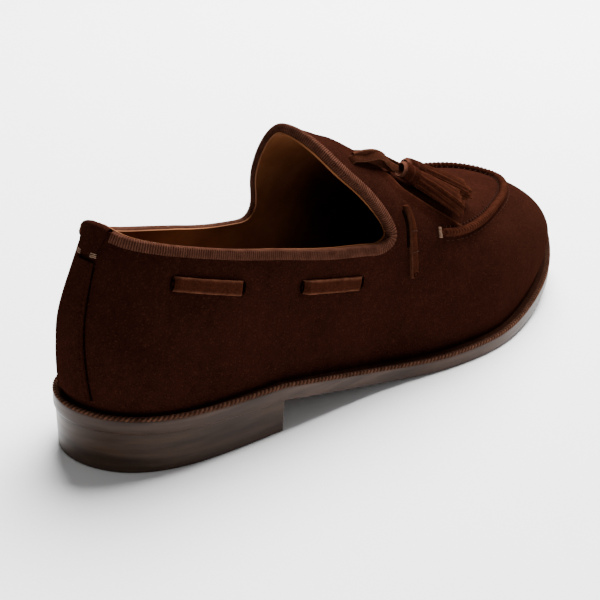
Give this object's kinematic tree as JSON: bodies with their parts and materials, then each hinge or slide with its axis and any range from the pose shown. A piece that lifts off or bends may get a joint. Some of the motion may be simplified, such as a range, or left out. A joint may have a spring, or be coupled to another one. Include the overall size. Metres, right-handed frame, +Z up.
{
  "type": "tassel loafer",
  "caption": "Slip-on leather shoe for the right foot with a raised apron seam, a side lace, tassels on the instep, a stitched welt and a stacked heel.",
  "frame": {"origin": "on the floor, under the middle of the shoe's length and width", "axes": "+X towards the toe, +Y towards the inner side of the foot, +Z up"},
  "size_m": [0.3, 0.1008, 0.1094],
  "materials": {
    "brown_suede": "matt nap",
    "brown_lace_leather": "matt",
    "ribbed_ribbon": "ribbed",
    "tan_lining_leather": "smooth",
    "edge_dyed_sole_leather": "dyed edge",
    "burnished_heel_leather": "burnished",
    "stitched_welt_leather": "matt"
  },
  "bodies": {
    "root": {"upper": "brown_suede", "heel_tab": "brown_suede", "back_stay": "brown_suede", "apron_seam": "brown_suede", "tassel_outer": "brown_suede", "tassel_inner": "brown_suede", "collar_binding": "ribbed_ribbon", "insole": "tan_lining_leather", "outsole": "edge_dyed_sole_leather", "heel_stack": "burnished_heel_leather", "welt": "stitched_welt_leather", "lace_knot": "brown_lace_leather", "lace_end_outer": "brown_lace_leather", "lace_end_inner": "brown_lace_leather", "lace_rear_outer": "brown_lace_leather", "lace_front_outer": "brown_lace_leather", "lace_riser_outer": "brown_lace_leather", "lace_rear_inner": "brown_lace_leather", "lace_front_inner": "brown_lace_leather", "lace_riser_inner": "brown_lace_leather"}
  },
  "joints": []
}
